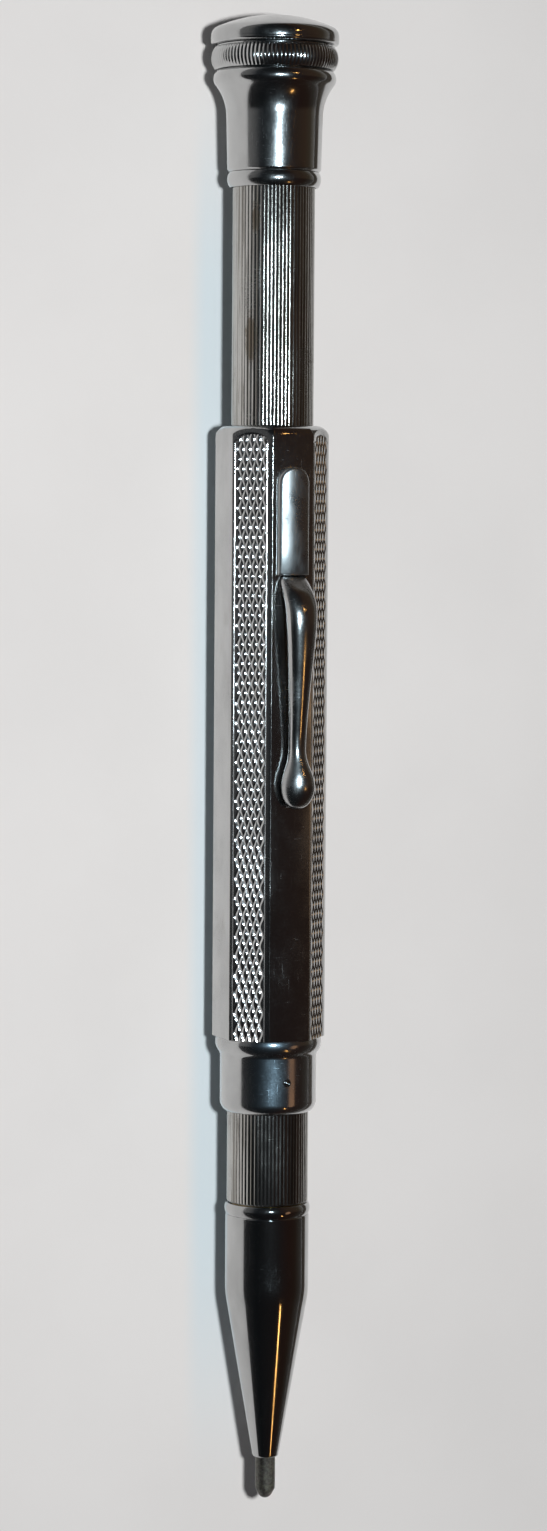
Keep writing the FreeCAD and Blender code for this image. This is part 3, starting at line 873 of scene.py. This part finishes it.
# what the metal sees at each angle round the pencil from straight up, towards +X, in degrees
ROOM_BY_CAP = [
    (-180, (0.3, 0.31, 0.32)),
    (-97, (0.3, 0.31, 0.32)),
    (-91, (0.18, 0.18, 0.18)),
    (-74, (0.133, 0.133, 0.133)),
    (-66, (0.09, 0.092, 0.095)),
    (-58, (0.027, 0.03, 0.034)),
    (-50, (0.012, 0.014, 0.016)),
    (8, (0.01, 0.009, 0.009)),
    (22, (0.024, 0.014, 0.011)),
    (36, (0.036, 0.023, 0.016)),
    (55, (0.046, 0.028, 0.018)),
    (73, (0.052, 0.04, 0.027)),
    (82, (0.11, 0.1, 0.085)),
    (91, (0.2, 0.195, 0.185)),
    (104, (0.3, 0.3, 0.295)),
    (180, (0.3, 0.3, 0.295)),
]
ROOM_BY_TIP = [
    (-180, (0.3, 0.31, 0.32)),
    (-97, (0.28, 0.29, 0.3)),
    (-91, (0.06, 0.06, 0.06)),
    (-82, (0.02, 0.02, 0.021)),
    (-66, (0.01, 0.011, 0.012)),
    (-52, (0.006, 0.007, 0.008)),
    (8, (0.011, 0.009, 0.009)),
    (23, (0.016, 0.01, 0.009)),
    (43, (0.02, 0.01, 0.0075)),
    (62, (0.023, 0.014, 0.01)),
    (80, (0.04, 0.035, 0.03)),
    (92, (0.1, 0.095, 0.09)),
    (104, (0.3, 0.3, 0.295)),
    (180, (0.3, 0.3, 0.295)),
]
FILL = (0.075, 0.074, 0.077)
BACKDROP = (0.60, 0.60, 0.595)


def make_world():
    """A dark room for the polished metal, a little even fill, and a pale backdrop for the eye."""
    world = bpy.data.worlds.new("room")
    world.use_nodes = True
    tree = world.node_tree
    new, link = tree.nodes.new, tree.links.new
    coords, split, path = new("ShaderNodeTexCoord"), new("ShaderNodeSeparateXYZ"), new("ShaderNodeLightPath")
    angle = new("ShaderNodeMath")
    angle.operation = "ARCTAN2"
    turn = new("ShaderNodeMath")
    turn.operation = "MULTIPLY_ADD"
    turn.inputs[1].default_value, turn.inputs[2].default_value = 1 / TAU, 0.5
    link(coords.outputs["Generated"], split.inputs[0])
    link(split.outputs["X"], angle.inputs[0])
    link(split.outputs["Z"], angle.inputs[1])
    link(angle.outputs[0], turn.inputs[0])
    room = new("ShaderNodeMix")
    room.data_type = "RGBA"
    lean = new("ShaderNodeMapRange")
    lean.interpolation_type = "SMOOTHSTEP"
    lean.inputs["From Min"].default_value, lean.inputs["From Max"].default_value = -0.17, 0.0
    link(split.outputs["Y"], lean.inputs["Value"])
    link(lean.outputs["Result"], room.inputs[0])
    for socket, table in ((6, ROOM_BY_TIP), (7, ROOM_BY_CAP)):
        ramp = new("ShaderNodeValToRGB")
        stops = ramp.color_ramp.elements
        while len(stops) > 1:
            stops.remove(stops[-1])
        for index, (degrees, colour) in enumerate(table):
            stop = stops[0] if index == 0 else stops.new(degrees / 360 + 0.5)
            stop.position = degrees / 360 + 0.5
            stop.color = (*colour, 1)
        link(turn.outputs[0], ramp.inputs[0])
        link(ramp.outputs[0], room.inputs[socket])
    seen = new("ShaderNodeMix")
    seen.data_type = "RGBA"
    seen.inputs[6].default_value = (*FILL, 1)
    link(path.outputs["Is Glossy Ray"], seen.inputs[0])
    link(room.outputs[2], seen.inputs[7])
    eye = new("ShaderNodeMix")
    eye.data_type = "RGBA"
    eye.inputs[7].default_value = (*BACKDROP, 1)
    link(path.outputs["Is Camera Ray"], eye.inputs[0])
    link(seen.outputs[2], eye.inputs[6])
    link(eye.outputs[2], tree.nodes["Background"].inputs["Color"])
    SCENE.world = world


CAMERA_FOOT = 0.0275
CAMERA_DISTANCE = 0.4033
CAMERA_SIDE = math.radians(23.3)
CAMERA_ROLL = math.radians(0.4)
CAMERA_LENS = 95.23
AIM_ASIDE = 0.35 * MM


def make_camera():
    data = bpy.data.cameras.new("camera")
    data.sensor_width = 36
    data.lens = CAMERA_LENS
    data.clip_start = 0.01
    camera = bpy.data.objects.new("camera", data)
    place = Vector((-CAMERA_DISTANCE * math.sin(CAMERA_SIDE), CAMERA_FOOT,
                    AXIS_Z + CAMERA_DISTANCE * math.cos(CAMERA_SIDE)))
    aim = Vector((AIM_ASIDE * math.cos(CAMERA_SIDE), 0.0, AXIS_Z + AIM_ASIDE * math.sin(CAMERA_SIDE)))
    back = (place - aim).normalized()
    up = Vector((0, 1, 0))
    right = up.cross(back).normalized()
    up = back.cross(right)
    turn = Matrix((right, up, back)).transposed()
    camera.matrix_world = Matrix.Translation(place) @ (turn @ Matrix.Rotation(CAMERA_ROLL, 3, "Z")).to_4x4()
    SCENE.collection.objects.link(camera)
    SCENE.camera = camera


FLASH_SIDE = math.radians(11.5)
FLASH_DISTANCE = 0.4
FLASH = (-FLASH_DISTANCE * math.sin(FLASH_SIDE), 0.03, FLASH_DISTANCE * math.cos(FLASH_SIDE))
FLASH_SIZE = (0.028, 0.028)
WARM = (1.0, 0.50, 0.14)

# what the flash looks like in each group of pieces: name, radiance, colour, pieces
GLINTS = [
    ("glint", 420, (0.72, 0.90, 1.0),
     ["long_nose", "nose_band", "lead_rod", "turning_knurl", "hub_flange", "flared_skirt", "rolled_hem",
      "domed_top", "round_stud", "clip_housing", "clip_tongue"]),
    ("glint_tube", 330, (0.80, 0.93, 1.0), ["reeded_tube"]),
    ("glint_sleeve", 300, (0.78, 0.92, 1.0), ["engraved_sleeve"]),
    ("glint_collar", 900, (0.50, 0.78, 1.0), ["beaded_collar"]),
]
# the room's lamps: name, place, aim, size, radiance, colour, pieces
LAMPS = [
    ("lamp_low", (0.16, -0.316, 0.41), (0, -0.06, 0), (0.022, 0.075), 6, WARM,
     ["long_nose", "flared_skirt", "rolled_hem", "beaded_collar", "nose_band", "domed_top"]),
    ("lamp_middle", (0.16, -0.105, 0.40), (0, 0, 0), (0.022, 0.06), 5, WARM, ["clip_tongue"]),
    ("lamp_collar", (0.229, -0.10, 0.328), (0, -0.035, 0), (0.15, 0.10), 0.32, (1, 0.55, 0.30),
     ["beaded_collar", "nose_band"]),
    ("lamp_side", (0.335, -0.03, 0.218), (0, 0, 0), (0.05, 0.42), 0.4, (1, 0.66, 0.38),
     ["engraved_sleeve"]),
    ("lamp_high", (0.13, 0.17, 0.40), (0, 0, 0), (0.024, 0.024), 16, WARM,
     ["flared_skirt", "domed_top", "clip_tongue", "clip_housing", "engraved_sleeve"]),
]


def make_lights():
    """The flash lights the scene but is seen in the metal only as its glints, each in its own pieces."""
    add_light("flash", FLASH, (0, 0, 0), FLASH_SIZE, 705, (1.0, 0.992, 0.985)).visible_glossy = False
    for name, radiance, tint, pieces in GLINTS:
        add_light(name, FLASH, (0, 0, 0), FLASH_SIZE, radiance, tint, pieces).visible_diffuse = False
    for lamp in LAMPS:
        add_light(*lamp)


add_sheet("floor", paper(), (-FLOOR_HALF, -FLOOR_HALF), (FLOOR_HALF, FLOOR_HALF), 0)
make_flag()
make_world()
make_camera()
make_lights()
SCENE.view_settings.view_transform = "Standard"
